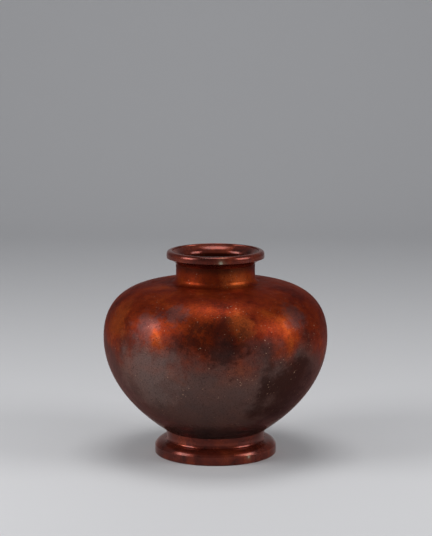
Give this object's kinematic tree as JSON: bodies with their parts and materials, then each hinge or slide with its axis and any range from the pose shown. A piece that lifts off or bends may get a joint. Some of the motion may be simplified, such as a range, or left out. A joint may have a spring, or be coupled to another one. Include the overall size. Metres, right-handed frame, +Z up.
{
  "type": "globular vase",
  "caption": "Globular cast bronze flower vase with a short neck, a dished mouth ring and a spreading turned foot ring.",
  "frame": {"origin": "on the vase's axis at the plane that the foot ring stands on", "axes": "+Z up along the axis of revolution; X and Y are alike, and the reference view looks along +Y"},
  "size_m": [0.2398, 0.2398, 0.22],
  "materials": {
    "russet_bronze": "mottled red and brown patina, glossy",
    "polished_lip_bronze": "polished dark red-brown patina",
    "polished_foot_bronze": "polished dark red-brown patina",
    "plate_bronze": "dull dark brown",
    "braze": "dull braze metal"
  },
  "bodies": {
    "root": {"body_shell": "russet_bronze", "mouth_ring": "polished_lip_bronze", "foot_ring": "polished_foot_bronze", "base_plate": "plate_bronze", "mouth_braze": "braze", "foot_braze": "braze", "plate_braze": "braze"}
  },
  "joints": []
}
